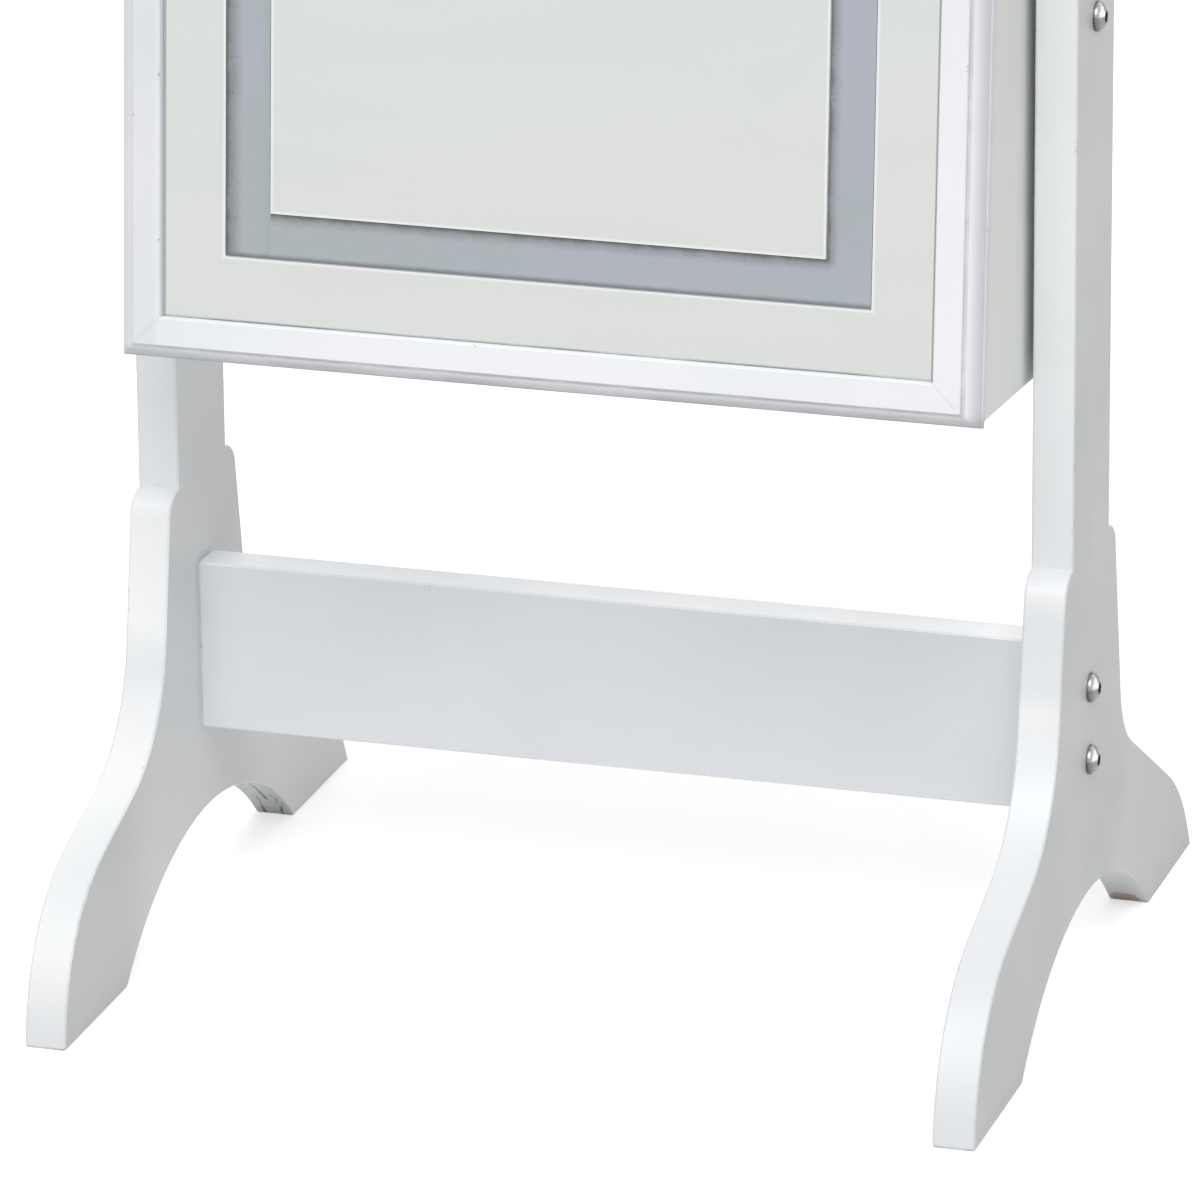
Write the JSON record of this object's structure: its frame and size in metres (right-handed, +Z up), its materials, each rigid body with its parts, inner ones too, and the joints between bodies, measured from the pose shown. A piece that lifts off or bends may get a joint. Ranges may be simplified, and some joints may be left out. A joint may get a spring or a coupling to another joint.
{
  "type": "jewelry mirror cabinet",
  "caption": "Free-standing jewelry cabinet with a lit mirror door, hung between two shaped side boards so that it leans back.",
  "frame": {"origin": "on the floor, midway between the two side boards and midway between the front and back toes", "axes": "+Z up, -Y towards the mirror's front, +X to the right seen from the front"},
  "size_m": [0.4186, 0.366, 1.466],
  "materials": {
    "white_paint": "white satin paint on fibreboard",
    "side_foil": "white satin foil on fibreboard",
    "mirror": "silvered glass",
    "frosted_glass": "frosted band",
    "light_tape": "matte",
    "chrome": "polished",
    "steel": "zinc plated",
    "brass": "turned",
    "nylon": "natural nylon",
    "white_plastic": "satin",
    "velvet": "short pile",
    "magnet": "ferrite"
  },
  "bodies": {
    "stand": {"leg_left": "white_paint", "leg_right": "white_paint", "stretcher": "white_paint", "stretcher_bolt_left_lower": "chrome", "cross_nut_left_lower": "steel", "stretcher_bolt_left_upper": "chrome", "cross_nut_left_upper": "steel", "pivot_bolt_left": "chrome", "pivot_spacer_left": "nylon", "lean_bolt_left": "chrome", "lean_sleeve_left": "brass", "lean_pad_left": "nylon", "stretcher_bolt_right_lower": "chrome", "cross_nut_right_lower": "steel", "stretcher_bolt_right_upper": "chrome", "cross_nut_right_upper": "steel", "pivot_bolt_right": "chrome", "pivot_spacer_right": "nylon", "lean_bolt_right": "chrome", "lean_sleeve_right": "brass", "lean_pad_right": "nylon"},
    "cabinet": {"cabinet_side_left": "side_foil", "cabinet_side_right": "side_foil", "cabinet_bottom": "white_paint", "cabinet_top": "white_paint", "cabinet_back": "white_paint", "pivot_sleeve_left": "brass", "pivot_sleeve_right": "brass", "shelf_lower": "white_paint", "shelf_middle": "white_paint", "shelf_upper": "white_paint", "ring_pad": "velvet", "earring_bar_lower": "white_plastic", "earring_bar_middle": "white_plastic", "earring_bar_upper": "white_plastic", "bracelet_rod": "chrome", "necklace_rail": "white_paint", "hinge_lower_cabinet_leaf": "steel", "hinge_middle_cabinet_leaf": "steel", "hinge_upper_cabinet_leaf": "steel", "lock_barrel": "chrome", "catch_magnet": "magnet"},
    "door": {"door_rail_left": "white_paint", "door_rail_right": "white_paint", "door_rail_bottom": "white_paint", "door_rail_top": "white_paint", "mirror_glass": "mirror", "light_band": "frosted_glass", "light_strip": "light_tape", "door_backing": "white_paint", "battery_case": "white_plastic", "battery_lid": "white_plastic", "hinge_lower_door_leaf": "steel", "hinge_middle_door_leaf": "steel", "hinge_upper_door_leaf": "steel", "lock_keeper": "steel", "catch_plate": "steel"},
    "lock": {"lock_plug": "chrome", "lock_hook_cam": "steel"},
    "light_button": {"light_button": "chrome"}
  },
  "joints": [
    {"name": "cabinet_lean", "type": "hinge", "parent": "stand", "child": "cabinet", "pos_m": [0, 0, 0.9], "axis": [-1, 0, 0], "range_deg": [-4.26, 1.7]},
    {"name": "door_swing", "type": "hinge", "parent": "cabinet", "child": "door", "pos_m": [-0.187, -0.05263, 0.8725], "axis": [0, -0.0743, -0.9972], "range_deg": [0, 170]},
    {"name": "lock_turn", "type": "hinge", "parent": "cabinet", "child": "lock", "pos_m": [0.157, -0.01497, 1.07526], "axis": [-1, 0, 0], "range_deg": [0, 90]},
    {"name": "light_button_press", "type": "slide", "parent": "door", "child": "light_button", "axis": [0, -0.9972, 0.0743], "range_m": [0, 0.0015], "stiffness_N_per_m": 200}
  ]
}
